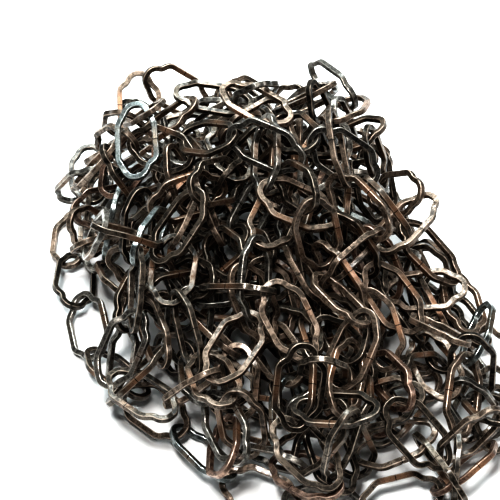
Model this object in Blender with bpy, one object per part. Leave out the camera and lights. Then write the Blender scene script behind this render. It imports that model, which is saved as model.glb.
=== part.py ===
"""A heap of square-bar iron chain, lying on a level floor.

One long chain is laid back and forth over the heap. Each link hangs in the one before it and comes to
lie in the lowest place that is still free. The chain is cut into runs of links, one solid each, whose
links are joined where they hook into one another. What lies hidden under the runs is one plain core.

Metres, +Z up. The origin is on the floor, under the middle of the heap.
"""

import math

import bmesh
import bpy
import numpy as np
from mathutils import Matrix, Vector
from mathutils.bvhtree import BVHTree

# The bar, and the corners of a quarter of the link along the middle of the bar.
BAR = 0.004
BAR_DIAGONAL = BAR * math.sqrt(2)
LINK_LENGTH = 0.057
LINK_WIDTH = 0.032
HALF_LENGTH = (LINK_LENGTH - BAR) / 2
HALF_WIDTH = (LINK_WIDTH - BAR) / 2
SHOULDER = (0.0130, HALF_WIDTH)
EYE_CORNER = (HALF_LENGTH, 0.0042)

# Two hooked links of a run sink a little into one another. Two runs stay apart.
HOOK_BITE = 0.0004
RUN_GAP = 0.0003
LINKS_IN_RUN = 8
SLIVER = 0.000002

# The heap's outline on the floor, and where it is highest. It is steep at the back and at the left.
HEAP_OUTLINE = [
    (-0.130, 0.085),
    (-0.035, 0.112),
    (0.060, 0.086),
    (0.104, 0.010),
    (0.152, -0.064),
    (0.187, -0.135),
    (0.184, -0.210),
    (0.105, -0.262),
    (0.000, -0.245),
    (-0.075, -0.180),
    (-0.122, -0.110),
    (-0.142, -0.010),
]
HEAP_TOP = np.array([-0.005, 0.015])
SUMMITS = np.array([[-0.074, 0.050], [0.042, 0.024]])
SUMMIT_SPREAD = 0.038

# The heap's inside, a hill of the same shape that the outer strands leave free, and what fills it:
# short stretches of the same chain round a small plain core.
INSIDE_INSET = 0.056
INSIDE_HEIGHT = 0.056
INSIDE_LIMIT = 0.003
STRETCHES = 28
STRETCH_LINKS = 6
STRETCH_STARTS = 3
STRETCH_SEED = 11
CORE_MIDDLE = np.array([0.018, -0.066])
CORE_HALF = np.array([0.045, 0.060])
CORE_HEIGHT = 0.020
CORE_SIDES = 16
CORE_RINGS = 6

# The irons in the photo: nearly black, brown, coppery and one with a pale sheen.
IRON_COLOURS = [
    ((0.060, 0.050, 0.045), 0.42),
    ((0.110, 0.075, 0.058), 0.45),
    ((0.075, 0.060, 0.052), 0.40),
    ((0.220, 0.125, 0.085), 0.38),
    ((0.095, 0.075, 0.065), 0.44),
    ((0.130, 0.132, 0.134), 0.33),
]

# The chain's way in plan.
PASSES = 19
PASS_REACH = (0.88, 1.02)
PASS_TURN = 0.563
HAIRPIN = 0.024
FRONT_SHARE = 0.6
FRONT_PULL = 0.06
WAY_STEP = 0.002
SEED = 3

# The search for each link's place.
CELL = 0.001
FIELD_LOW = np.array([-0.240, -0.310, 0.0])
FIELD_HIGH = np.array([0.270, 0.200, 0.240])
CLEARANCE = 0.0060
HOOK_CLEARANCE = 0.0049
FLOOR_CLEARANCE = BAR_DIAGONAL / 2 + 0.0001
CORE_MARGIN = BAR_DIAGONAL / 2 + RUN_GAP + 0.0003
SETTLE_STEP = 0.0002
HOOK_REACH = 0.0180
HOOK_ZONE = 0.0065
SAMPLE_STEP = 0.0034
TRIES = 6000
BATCH = 150


def link_outline():
    """The corners of one link's middle line, in its own plane, going round."""
    quarter = [SHOULDER, EYE_CORNER]
    half = quarter + [(x, -y) for x, y in reversed(quarter)]
    return half + [(-x, -y) for x, y in half]


def samples_along(outline, step):
    """Points along a closed outline, at most step apart, as rows of x, y, z."""
    points = []
    for (ax, ay), (bx, by) in zip(outline, outline[1:] + outline[:1]):
        count = math.ceil(math.hypot(bx - ax, by - ay) / step)
        for k in range(count):
            share = k / count
            points.append((ax + share * (bx - ax), ay + share * (by - ay), 0.0))
    return np.array(points)


def smooth(points, rounds=3):
    """The line through the points with its corners cut, a few times over."""
    line = np.array(points)
    for _ in range(rounds):
        first = line[:-1] * 0.75 + line[1:] * 0.25
        second = line[:-1] * 0.25 + line[1:] * 0.75
        line = np.stack([first, second], axis=1).reshape(-1, 2)
    return line


def evenly(line, step):
    """The same line with a point every step."""
    lengths = np.linalg.norm(np.diff(line, axis=0), axis=1)
    along = np.concatenate([[0], np.cumsum(lengths)])
    at = np.arange(0, along[-1], step)
    return np.stack([np.interp(at, along, line[:, i]) for i in (0, 1)], axis=1)


def heap_outline():
    """The heap's outline on the floor, closed, with a point every step."""
    return evenly(smooth(HEAP_OUTLINE + HEAP_OUTLINE[:3], 4), WAY_STEP)


def outline_reach(angles):
    """How far the heap's outline lies from the top, in plan, in each direction."""
    arms = heap_outline() - HEAP_TOP
    at = np.arctan2(arms[:, 1], arms[:, 0])
    order = np.argsort(at)
    return np.interp(angles, at[order], np.linalg.norm(arms, axis=1)[order], period=2 * math.pi)


def chain_way(rng):
    """The chain's way in plan: twice round the foot, then back and forth over the top."""
    arms = heap_outline() - HEAP_TOP
    once = len(arms) * len(HEAP_OUTLINE) / (len(HEAP_OUTLINE) + 1)

    def out(share, reach):
        return HEAP_TOP + arms[int(share % 1 * once)] * reach

    def more_in_front(share):
        return share - FRONT_PULL * math.sin(2 * math.pi * (share - FRONT_SHARE))

    points = [out(share, 0.93) for share in np.arange(0, 0.97, 0.03)]
    points += [out(share, 0.70) for share in np.arange(0.02, 0.92, 0.04)]
    share = 0.97
    for k in range(PASSES):
        reach = rng.uniform(*PASS_REACH)
        end = more_in_front(share)
        points.append(out(end - HAIRPIN, reach))
        points.append(out(end + HAIRPIN, reach))
        summit = SUMMITS[k % 2] + rng.uniform(-0.2, 0.2) * (SUMMITS[1] - SUMMITS[0])
        points.append(summit + rng.uniform(-SUMMIT_SPREAD, SUMMIT_SPREAD, 2))
        share += PASS_TURN + rng.uniform(-0.015, 0.015)
    points.append(out(more_in_front(share), 0.93))
    return evenly(smooth(points), WAY_STEP)


def inside_share(height):
    """How wide the heap's inside is at a height, against its foot."""
    return math.sqrt(max(1 - min(height / INSIDE_HEIGHT, 1) ** 1.5, 0))


def in_core(points, margin):
    """Whether points lie in the core made larger by a margin."""
    flat = (points[..., :2] - CORE_MIDDLE) / (CORE_HALF + margin)
    height = np.maximum(points[..., 2], 0) / (CORE_HEIGHT + margin)
    return (flat**2).sum(axis=-1) + height**1.5 < 1


class Field:
    """A grid that counts, for each place, the links too near to it for another bar's middle."""

    def __init__(self):
        shape = np.ceil((FIELD_HIGH - FIELD_LOW) / CELL).astype(int)
        self.last_cell = shape - 1
        self.taken = np.zeros(shape, np.uint8)
        self.flat = self.taken.reshape(-1)
        reach = int(CLEARANCE / CELL)
        span = np.arange(-reach, reach + 1)
        ball = np.stack(np.meshgrid(span, span, span, indexing="ij"), -1).reshape(-1, 3)
        self.ball = ball[np.linalg.norm(ball, axis=1) * CELL <= CLEARANCE]

    def cells(self, points):
        index = np.floor((points - FIELD_LOW) / CELL).astype(int)
        return np.clip(index, 0, self.last_cell)

    def around(self, points):
        index = self.cells(points)[:, None, :] + self.ball[None]
        index = np.clip(index, 0, self.last_cell).reshape(-1, 3)
        return np.unique(np.ravel_multi_index(tuple(index.T), self.taken.shape))

    def add(self, points):
        self.flat[self.around(points)] += 1

    def take_out(self, points):
        self.flat[self.around(points)] -= 1

    def inside_layers(self, margin):
        """For each layer of cells, which of them lie in the heap's inside with a margin."""
        x, y, z = self.places()
        dx, dy = x[:, None] - HEAP_TOP[0], y[None, :] - HEAP_TOP[1]
        away = np.hypot(dx, dy)
        foot = outline_reach(np.arctan2(dy, dx)) - INSIDE_INSET
        for k in np.flatnonzero(z < INSIDE_HEIGHT + margin):
            yield k, away < foot * inside_share(max(z[k] - margin, 0.0)) + margin

    def places(self):
        return (
            low + CELL * (np.arange(count) + 0.5)
            for low, count in zip(FIELD_LOW, self.taken.shape)
        )

    def close_inside(self):
        """Keeps the outer strands out of the heap's inside."""
        for k, inside in self.inside_layers(BAR_DIAGONAL / 2 + RUN_GAP):
            self.taken[:, :, k] += inside

    def open_inside(self):
        """Frees the heap's inside but for the core, and takes all that lies outside it."""
        for k, inside in self.inside_layers(BAR_DIAGONAL / 2 + RUN_GAP):
            self.taken[:, :, k] -= inside
        outside = np.ones(self.taken.shape, bool)
        for k, inside in self.inside_layers(INSIDE_LIMIT):
            outside[:, :, k] = ~inside
        places = np.stack(np.meshgrid(*self.places(), indexing="ij"), axis=-1, dtype=np.float32)
        self.taken += outside | in_core(places, CORE_MARGIN)

    def free(self, points):
        """For each set of points, whether all of it is free."""
        index = self.cells(points)
        hit = self.taken[index[..., 0], index[..., 1], index[..., 2]] > 0
        low = points[..., 2] < FLOOR_CLEARANCE
        return ~(hit | low).any(axis=-1)


def turned_to(directions, rolls):
    """Rotation matrices whose first axis is each direction, turned about it by each roll."""
    flat = np.cross([0.0, 0.0, 1.0], directions)
    flat /= np.linalg.norm(flat, axis=1, keepdims=True)
    up = np.cross(directions, flat)
    side = np.cos(rolls)[:, None] * flat + np.sin(rolls)[:, None] * up
    return np.stack([directions, side, np.cross(directions, side)], axis=-1)


def reach_across(direction, inward, normal):
    """How far a square bar reaches from its middle line in a direction across it."""
    return (np.abs((direction * inward).sum(-1)) + np.abs((direction * normal).sum(-1))) * BAR / 2


class Layer:
    """Lays links one after another, each hooked into the one before."""

    def __init__(self, rng):
        self.rng = rng
        outline = link_outline()
        self.shape = samples_along(outline, SAMPLE_STEP)
        ahead = np.roll(self.shape, -1, axis=0) - np.roll(self.shape, 1, axis=0)
        self.tangents = ahead / np.linalg.norm(ahead, axis=1, keepdims=True)
        inward = np.cross([0.0, 0.0, 1.0], self.tangents)
        self.inward = -inward * np.sign((inward * self.shape).sum(axis=1, keepdims=True))
        self.far_eye = np.flatnonzero(self.shape[:, 0] > HOOK_REACH)
        self.near_eye = np.flatnonzero(self.shape[:, 0] < -HOOK_REACH)
        self.field = Field()
        self.reach = outline_reach(np.radians(np.arange(-180, 181)))
        self.solid = bar_loop(outline, BAR)
        self.clear = bar_loop(outline, BAR + 2 * RUN_GAP)
        self.close = bar_loop(outline, BAR + 4 * RUN_GAP)
        self.links = []
        self.trees = []

    def points(self, link):
        turn, middle = link
        return middle + self.shape @ turn.T

    def tree(self, loop, link):
        corners, faces = loop
        turn, middle = link
        return BVHTree.FromPolygons([Vector(p) for p in middle + corners @ turn.T], faces)

    def put(self, link):
        if self.links:
            self.field.add(self.points(self.links[-1]))
        self.links.append(link)
        self.trees.append(self.tree(self.solid, link))

    def take_back(self, count):
        for _ in range(min(count, len(self.links) - 1)):
            self.links.pop()
            self.trees.pop()
            self.field.take_out(self.points(self.links[-1]))

    def hooks_in(self, link, new_run):
        """Whether a link meets the last one in the way its place in the run asks for."""
        loop = self.close if new_run else self.solid
        return bool(self.tree(loop, link).overlap(self.trees[-1]))

    def clashes(self, link, new_run):
        """Whether a link comes too near to any laid link it isn't joined to."""
        tree = self.tree(self.clear, link)
        apart = len(self.links) - (0 if new_run else 1)
        return any(
            np.linalg.norm(self.links[i][1] - link[1]) < LINK_LENGTH + BAR
            and tree.overlap(self.trees[i])
            for i in range(apart)
        )

    def next_link(self, target, width, tries, new_run=False):
        """The lowest free place near the target for a link hooked into the last one, or None."""
        rng = self.rng
        before, centre = self.links[-1]
        eye = centre + before[:, 0] * HALF_LENGTH
        aim = target - eye[:2]
        azimuths = math.atan2(aim[1], aim[0]) + rng.normal(0, 1, tries) * width
        pitches = rng.uniform(math.radians(-88), math.radians(72), tries)
        flat = np.cos(pitches)
        directions = np.stack(
            [np.cos(azimuths) * flat, np.sin(azimuths) * flat, np.sin(pitches)], axis=1
        )
        turned = turned_to(directions, rng.uniform(0, math.pi, tries))
        on_last = rng.choice(self.far_eye, tries)
        on_next = rng.choice(self.near_eye, tries)
        last_inward = self.inward[on_last] @ before.T
        next_tangent = np.einsum("nij,nj->ni", turned, self.tangents[on_next])
        next_inward = np.einsum("nij,nj->ni", turned, self.inward[on_next])
        push = np.cross(self.tangents[on_last] @ before.T, next_tangent)
        crossing = np.linalg.norm(push, axis=1)
        push /= np.maximum(crossing, 1e-6)[:, None]
        push *= np.sign((push * last_inward).sum(axis=1))[:, None]
        apart = reach_across(push, last_inward, before[:, 2])
        apart += reach_across(push, next_inward, turned[:, :, 2])
        apart += RUN_GAP * 1.15 if new_run else -HOOK_BITE
        contact = centre + self.shape[on_last] @ before.T
        arm = np.einsum("nij,nj->ni", turned, self.shape[on_next])
        centres = contact + push * apart[:, None] - arm
        ends = centres + directions * HALF_LENGTH
        cost = centres[:, 2] + 0.6 * ends[:, 2]
        cost += 0.8 * np.linalg.norm(ends[:, :2] - target, axis=1)
        arms = ends[:, :2] - HEAP_TOP
        reach = self.reach[np.degrees(np.arctan2(arms[:, 1], arms[:, 0])).astype(int) + 180]
        cost += 3 * np.maximum(np.linalg.norm(arms, axis=1) - reach, 0)
        hooked = (
            (crossing > 0.5)
            & ((push * last_inward).sum(axis=1) > 0.35)
            & ((push * next_inward).sum(axis=1) < -0.35)
        )
        order = np.argsort(np.where(hooked, cost, np.inf))[: hooked.sum()]
        last = self.points(self.links[-1])
        for start in range(0, len(order), BATCH):
            few = order[start : start + BATCH]
            points = np.einsum("nij,kj->nki", turned[few], self.shape) + centres[few][:, None]
            for i in np.flatnonzero(self.field.free(points)):
                link = (turned[few[i]], centres[few[i]])
                touch = contact[few[i]]
                far_last = np.linalg.norm(last - touch, axis=1) > HOOK_ZONE
                far_next = np.linalg.norm(points[i] - touch, axis=1) > HOOK_ZONE
                gaps = np.linalg.norm(points[i][:, None] - last[None], axis=-1)
                near = gaps[far_next[:, None] | far_last[None]].min() < HOOK_CLEARANCE
                if not near and self.hooks_in(link, new_run) and not self.clashes(link, new_run):
                    return link
        return None

    def lay(self, way):
        """One chain along the way. Where it can't go on, a few links are laid again."""
        heading = np.append(way[10] - way[0], 0.0)
        first = turned_to(heading[None] / np.linalg.norm(heading), np.array([0.3]))[0]
        self.put((first, np.append(way[0], 0.012)))
        stride = int(2 * HALF_LENGTH / WAY_STEP)
        marks = [0]
        misses = 0
        while marks[-1] + stride + 30 < len(way):
            before, centre = self.links[-1]
            eye = centre + before[:, 0] * HALF_LENGTH
            near = way[marks[-1] : marks[-1] + stride + 12]
            at = marks[-1] + 3 + int(np.argmin(np.linalg.norm(near - eye[:2], axis=1)))
            tries = TRIES * (1 + int(misses))
            new_run = len(self.links) % LINKS_IN_RUN == 0
            link = self.next_link(way[at + stride], 0.35 + 0.1 * misses, tries, new_run)
            if link is None:
                misses += 1
                drop = min(1 + int(misses), len(self.links) - 1)
                self.take_back(drop)
                del marks[len(marks) - drop :]
                if misses > 12:
                    return
                continue
            misses = max(misses - 0.25, 0)
            self.put(link)
            marks.append(at)

    def free_place(self):
        """The lowest of some free places inside the heap for a link hooked into none, or None."""
        rng = self.rng
        angles = rng.uniform(0, 2 * math.pi, TRIES)
        away = (outline_reach(angles) - INSIDE_INSET) * np.sqrt(rng.uniform(0, 1, TRIES))
        spots = HEAP_TOP + np.stack([np.cos(angles), np.sin(angles)], axis=1) * away[:, None]
        centres = np.column_stack([spots, rng.uniform(0.003, INSIDE_HEIGHT, TRIES)])
        azimuths = rng.uniform(0, 2 * math.pi, TRIES)
        pitches = rng.uniform(-0.7, 0.7, TRIES)
        flat = np.cos(pitches)
        directions = np.stack(
            [np.cos(azimuths) * flat, np.sin(azimuths) * flat, np.sin(pitches)], axis=1
        )
        turned = turned_to(directions, rng.uniform(0, math.pi, TRIES))
        order = np.argsort(centres[:, 2])
        for start in range(0, TRIES, BATCH):
            few = order[start : start + BATCH]
            points = np.einsum("nij,kj->nki", turned[few], self.shape) + centres[few][:, None]
            for i in few[self.field.free(points)]:
                if not self.clashes((turned[i], centres[i]), True):
                    return self.let_down((turned[i], centres[i]))
        return None

    def let_down(self, link):
        """A link lowered until it all but touches the floor, the core or another link."""
        turn, middle = link
        step = np.array([0.0, 0.0, SETTLE_STEP])
        while True:
            lower = turn, middle - step
            low = (lower[1] + self.solid[0] @ turn.T)[:, 2].min() < RUN_GAP
            if low or in_core(self.points(lower), CORE_MARGIN).any() or self.clashes(lower, True):
                return turn, middle
            middle = lower[1]

    def lay_inside(self):
        """Fills the heap's inside, each time with the longest of a few stretches of chain."""
        self.field.open_inside()
        stretches = []
        for _ in range(STRETCHES):
            longest = []
            laid = len(self.links)
            for _ in range(STRETCH_STARTS):
                link = self.free_place()
                while link is not None and len(self.links) < laid + STRETCH_LINKS:
                    self.put(link)
                    target = link[1][:2] + self.rng.normal(0, 0.1, 2)
                    link = self.next_link(target, 1.5, TRIES)
                if len(self.links) - laid > len(longest):
                    longest = self.links[laid:]
                self.take_back(len(self.links) - laid)
            for link in longest:
                self.put(link)
            if longest:
                stretches.append(longest)
        return stretches


def bar_loop(outline, bar):
    """The corners and faces of a square bar bent round an outline."""
    curve = bpy.data.curves.new("link", "CURVE")
    curve.dimensions = "3D"
    curve.fill_mode = "FULL"
    curve.bevel_depth = bar / math.sqrt(2)
    curve.bevel_resolution = 0
    curve.twist_mode = "Z_UP"
    spline = curve.splines.new("POLY")
    spline.points.add(len(outline) - 1)
    for point, (x, y) in zip(spline.points, outline):
        point.co = (x, y, 0, 1)
        point.tilt = math.radians(45)
    spline.use_cyclic_u = True
    guide = bpy.data.objects.new("link", curve)
    bpy.context.scene.collection.objects.link(guide)
    evaluated = guide.evaluated_get(bpy.context.evaluated_depsgraph_get())
    mesh = bpy.data.meshes.new_from_object(evaluated)
    bpy.data.objects.remove(guide)
    shape = bmesh.new()
    shape.from_mesh(mesh)
    bmesh.ops.remove_doubles(shape, verts=shape.verts, dist=1e-6)
    bmesh.ops.recalc_face_normals(shape, faces=shape.faces)
    shape.verts.index_update()
    corners = np.array([v.co[:] for v in shape.verts])
    faces = [tuple(v.index for v in face.verts) for face in shape.faces]
    shape.free()
    return corners, faces


def link_object(name, loop, link, heap):
    """One link as an object of its own, in its place."""
    corners, faces = loop
    turn, middle = link
    mesh = bpy.data.meshes.new(name)
    mesh.from_pydata([tuple(p) for p in middle + corners @ turn.T], [], faces)
    solid = bpy.data.objects.new(name, mesh)
    heap.objects.link(solid)
    return solid


def joined_run(name, links, loop, heap):
    """One closed solid of links, each united with the next where they hook."""
    run, *others = [link_object(name, loop, link, heap) for link in links]
    for other in others:
        unite = run.modifiers.new("join_link", "BOOLEAN")
        unite.operation = "UNION"
        unite.solver = "EXACT"
        unite.object = other
    evaluated = run.evaluated_get(bpy.context.evaluated_depsgraph_get())
    mesh = bpy.data.meshes.new_from_object(evaluated)
    run.modifiers.clear()
    run.data = mesh
    for other in others:
        bpy.data.objects.remove(other)
    clean_up(mesh)
    return run


def clean_up(mesh):
    """Merges the slivers where bars meet, and fills the small voids that a hook shuts in."""
    shape = bmesh.new()
    shape.from_mesh(mesh)
    bmesh.ops.triangulate(shape, faces=shape.faces)
    bmesh.ops.remove_doubles(shape, verts=shape.verts, dist=SLIVER)
    bmesh.ops.dissolve_degenerate(shape, edges=shape.edges, dist=SLIVER)
    unseen = set(shape.verts)
    shells = []
    while unseen:
        shell = set()
        front = {unseen.pop()}
        while front:
            shell |= front
            front = {edge.other_vert(vert) for vert in front for edge in vert.link_edges} - shell
        unseen -= shell
        shells.append(shell)
    shells.sort(key=len)
    for shell in shells[:-1]:
        bmesh.ops.delete(shape, geom=list(shell), context="VERTS")
    shape.to_mesh(mesh)
    shape.free()


def hidden_core(heap):
    """A plain low hill with a flat underside, in the middle of the heap's foot."""
    shape = bmesh.new()
    bmesh.ops.create_uvsphere(shape, u_segments=CORE_SIDES, v_segments=2 * CORE_RINGS, radius=1)
    lower = [vert for vert in shape.verts if vert.co.z < -1e-4]
    bmesh.ops.delete(shape, geom=lower, context="VERTS")
    bmesh.ops.holes_fill(shape, edges=[edge for edge in shape.edges if edge.is_boundary])
    for vert in shape.verts:
        x, y, z = vert.co
        height = max(z, 0.0)
        away = math.hypot(x, y)
        share = math.sqrt(1 - height**1.5) / away if away > 1e-4 else 0.0
        place = CORE_MIDDLE + CORE_HALF * np.array([x, y]) * share
        vert.co = (*place, height * CORE_HEIGHT)
    bmesh.ops.recalc_face_normals(shape, faces=shape.faces)
    mesh = bpy.data.meshes.new("hidden_core")
    shape.to_mesh(mesh)
    shape.free()
    core = bpy.data.objects.new("hidden_core", mesh)
    heap.objects.link(core)
    return core


def metal(name, colour, roughness):
    made = bpy.data.materials.new(name)
    made.use_nodes = True
    shader = made.node_tree.nodes["Principled BSDF"]
    shader.inputs["Base Color"].default_value = (*colour, 1.0)
    shader.inputs["Roughness"].default_value = roughness
    shader.inputs["Metallic"].default_value = 0.9
    return made


def main():
    for old in list(bpy.data.objects):
        bpy.data.objects.remove(old, do_unlink=True)
    heap = bpy.data.collections.new("chain_heap")
    bpy.context.scene.collection.children.link(heap)
    rng = np.random.default_rng(SEED)
    layer = Layer(rng)
    layer.field.close_inside()
    layer.lay(chain_way(rng))
    starts = range(0, len(layer.links), LINKS_IN_RUN)
    runs = [layer.links[start : start + LINKS_IN_RUN] for start in starts]
    layer.rng = np.random.default_rng(STRETCH_SEED)
    stretches = layer.lay_inside()
    solids = [hidden_core(heap)]
    solids[0].data.materials.append(metal("core_iron", (0.02, 0.017, 0.015), 0.7))
    shadowed = metal("shadowed_iron", (0.045, 0.038, 0.034), 0.5)
    for n, links in enumerate(stretches):
        stretch = joined_run(f"inside_{n + 1:02d}", links, layer.solid, heap)
        stretch.data.materials.append(shadowed)
        solids.append(stretch)
    for n, links in enumerate(runs):
        run = joined_run(f"chain_run_{n + 1:02d}", links, layer.solid, heap)
        colour, roughness = IRON_COLOURS[n % len(IRON_COLOURS)]
        run.data.materials.append(metal(f"iron_{n + 1:02d}", colour, roughness))
        solids.append(run)
    corners = np.array([vert.co for solid in solids for vert in solid.data.vertices])
    low, high = corners.min(axis=0), corners.max(axis=0)
    shift = Matrix.Translation((-(low[0] + high[0]) / 2, -(low[1] + high[1]) / 2, -low[2]))
    for solid in solids:
        solid.data.transform(shift)


main()
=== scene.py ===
"""A heap of square-bar iron chain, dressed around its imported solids.

The chain is laid again just as the solids were: the same links, in the same places. Each gets its
rounded, slightly uneven bar, its bends and its butt seam. The few links that the plain core stands
for are laid in its place.

Metres, +Z up, azimuth 0 looks along +Y.
"""

import math

import bmesh
import bpy
import numpy as np
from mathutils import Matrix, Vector
from mathutils.bvhtree import BVHTree


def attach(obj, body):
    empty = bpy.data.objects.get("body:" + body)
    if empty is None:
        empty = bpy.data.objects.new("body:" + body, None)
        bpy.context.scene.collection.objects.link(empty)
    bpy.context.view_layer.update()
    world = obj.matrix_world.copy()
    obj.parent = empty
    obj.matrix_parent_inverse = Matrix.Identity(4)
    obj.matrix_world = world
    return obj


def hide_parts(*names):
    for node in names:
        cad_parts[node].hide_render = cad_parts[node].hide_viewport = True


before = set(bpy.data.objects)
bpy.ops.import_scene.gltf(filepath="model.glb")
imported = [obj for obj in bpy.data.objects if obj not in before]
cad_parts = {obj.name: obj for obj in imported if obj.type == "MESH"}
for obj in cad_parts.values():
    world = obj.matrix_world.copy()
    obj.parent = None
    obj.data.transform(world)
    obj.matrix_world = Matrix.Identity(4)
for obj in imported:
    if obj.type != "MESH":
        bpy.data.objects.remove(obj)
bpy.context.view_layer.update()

# The bar, and the corners of a quarter of the link along the middle of the bar.
BAR = 0.004
BAR_DIAGONAL = BAR * math.sqrt(2)
LINK_LENGTH = 0.057
LINK_WIDTH = 0.032
HALF_LENGTH = (LINK_LENGTH - BAR) / 2
HALF_WIDTH = (LINK_WIDTH - BAR) / 2
SHOULDER = (0.0130, HALF_WIDTH)
EYE_CORNER = (HALF_LENGTH, 0.0042)

# Two hooked links of a run sink a little into one another. Two runs stay apart.
HOOK_BITE = 0.0004
RUN_GAP = 0.0003
LINKS_IN_RUN = 8

# The heap's outline on the floor, its middle in plan and its two summits.
HEAP_OUTLINE = [
    (-0.130, 0.085),
    (-0.035, 0.112),
    (0.060, 0.086),
    (0.104, 0.010),
    (0.152, -0.064),
    (0.187, -0.135),
    (0.184, -0.210),
    (0.105, -0.262),
    (0.000, -0.245),
    (-0.075, -0.180),
    (-0.122, -0.110),
    (-0.142, -0.010),
]
HEAP_TOP = np.array([-0.005, 0.015])
SUMMITS = np.array([[-0.074, 0.050], [0.042, 0.024]])
SUMMIT_SPREAD = 0.038

# The heap's inside, a hill of the same shape that the outer strands leave free, and what fills it:
# short stretches of the same chain round a small plain core.
HILL_POWER = 1.5
INSIDE_INSET = 0.056
INSIDE_HEIGHT = 0.056
INSIDE_LIMIT = 0.003
STRETCHES = 28
STRETCH_LINKS = 6
STRETCH_STARTS = 3
STRETCH_LOWEST = 0.003
STRETCH_PITCH = 0.7
STRETCH_WANDER = 0.1
STRETCH_SPREAD = 1.5
STRETCH_SEED = 11
CORE_LINKS = 60
CORE_MIDDLE = np.array([0.018, -0.066])
CORE_HALF = np.array([0.045, 0.060])
CORE_HEIGHT = 0.020

# The chain's way in plan: first round the foot, each time with a reach and with the start, end and
# step as shares of the outline, then in passes from edge to edge over one summit or the other.
FOOT_ROUNDS = [(0.93, 0.0, 0.97, 0.03), (0.70, 0.02, 0.92, 0.04)]
PASSES = 19
PASSES_FROM = 0.97
PASS_REACH = (0.88, 1.02)
LAST_REACH = 0.93
PASS_TURN = 0.563
TURN_WANDER = 0.015
SUMMIT_WANDER = 0.2
HAIRPIN = 0.024
FRONT_SHARE = 0.6
FRONT_PULL = 0.06
WAY_STEP = 0.002
SEED = 3

# The search along the way, counted in points of the way. A miss widens it and takes back links.
WAY_HEADING = 10
WAY_SPARE = 30
LOOK_AHEAD = 12
LEAST_ADVANCE = 3
FIRST_ROLL = 0.3
FIRST_HEIGHT = 0.012
SEARCH_SPREAD = 0.35
MISS_SPREAD = 0.1
MISS_FADE = 0.25
MOST_MISSES = 12

# The search for each link's place.
CELL = 0.001
FIELD_LOW = np.array([-0.240, -0.310, 0.0])
FIELD_HIGH = np.array([0.270, 0.200, 0.240])
CLEARANCE = 0.0060
CLOSE = 0.0042
HOOK_CLEARANCE = 0.0049
FLOOR_CLEARANCE = BAR_DIAGONAL / 2 + 0.0001
CORE_MARGIN = BAR_DIAGONAL / 2 + RUN_GAP + 0.0003
SETTLE_STEP = 0.0002
HOOK_REACH = 0.0180
HOOK_ZONE = 0.0065
HOOK_GAP = RUN_GAP * 1.15
LEAST_CROSSING = 0.5
LEAST_PUSH = 0.35
LINK_PITCHES = (math.radians(-88), math.radians(72))
END_HEIGHT_COST = 0.6
MISSED_TARGET_COST = 0.8
OUTSIDE_COST = 3
SAMPLE_STEP = 0.0034
TRIES = 6000
BATCH = 150

# The bends of a quarter of a link as it is made, with each bend's radius, and how uneven links are.
MADE_BENDS = [
    ((0.0136, 0.0142), 0.0100),
    ((0.0190, 0.0091), 0.0105),
    ((0.0234, 0.0074), 0.0075),
    ((0.0270, 0.0036), 0.0068),
]
BEND_STEPS = 6
BEND_CUT = 0.48
BEND_CHANGE = (0.8, 1.4)
EVEN_EYE = 0.022
UNEVEN = 0.00065
UNEVEN_LIFT = 0.8
TWISTS = (0.06, 0.05)
UNEVEN_BAR = 0.035
BAR_WAVES = (3, 7)
EDGE_RADIUS = 0.0007
EDGE_STEPS = 3
SEAM_HALF = 0.00038
SEAM_RINGS = (0.5, 1.0)
SEAM_DEPTH = 0.16
HEAT_REACH = 0.013
MADE_SEED = 103

# The corners of a face as steps along and round the bar. Each bar map starts at a random place up
# to MAP_START. The baking map keeps a margin in each strip, and sets strips side by side when a
# piece has many links.
FACE_CORNERS = [(0, 0), (1, 0), (1, 1), (0, 1)]
MAP_START = 5
MAP_INSET = (0.01, 0.06)
MOST_IN_ONE_COLUMN = 4

# The irons: each one's share of the links, the colours of the forge skin, of where it is thin, of
# worn edges with a painted highlight on them and of the heat tint, then metallic, roughness on thin
# and on thick skin, how strongly the edges show their wear and painted highlight, and the lacquer's
# weight and roughness.
IRONS = {
    "black_iron": {
        "share": 0.40,
        "dark": (0.030, 0.026, 0.022),
        "thin": (0.124, 0.104, 0.085),
        "worn_glint": (0.55, 0.46, 0.38),
        "heated": (0.245, 0.155, 0.105),
        "metallic": 0.80,
        "rough": (0.31, 0.47),
        "wear_glint": 0.85,
        "coat": (0.50, 0.09),
    },
    "brown_iron": {
        "share": 0.36,
        "dark": (0.070, 0.056, 0.045),
        "thin": (0.232, 0.182, 0.146),
        "worn_glint": (0.66, 0.53, 0.43),
        "heated": (0.305, 0.190, 0.128),
        "metallic": 0.80,
        "rough": (0.33, 0.50),
        "wear_glint": 0.9,
        "coat": (0.45, 0.10),
    },
    "grey_iron": {
        "share": 0.15,
        "dark": (0.070, 0.066, 0.061),
        "thin": (0.256, 0.238, 0.213),
        "worn_glint": (0.66, 0.62, 0.56),
        "heated": (0.260, 0.180, 0.130),
        "metallic": 0.85,
        "rough": (0.25, 0.40),
        "wear_glint": 0.9,
        "coat": (0.65, 0.07),
    },
    "coppery_iron": {
        "share": 0.06,
        "dark": (0.121, 0.083, 0.066),
        "thin": (0.332, 0.229, 0.178),
        "worn_glint": (0.699, 0.546, 0.453),
        "heated": (0.350, 0.215, 0.140),
        "metallic": 0.85,
        "rough": (0.30, 0.45),
        "wear_glint": 0.9,
        "coat": (0.50, 0.09),
    },
    # A paler metal whose pale bluish colours are partly a painted reflection of the cool window
    # light.
    "pale_sheen_iron": {
        "share": 0.03,
        "dark": (0.110, 0.120, 0.118),
        "thin": (0.350, 0.380, 0.374),
        "worn_glint": (0.72, 0.77, 0.76),
        "heated": (0.380, 0.312, 0.250),
        "metallic": 0.95,
        "rough": (0.21, 0.34),
        "wear_glint": 0.8,
        "coat": (0.70, 0.06),
    },
}

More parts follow.
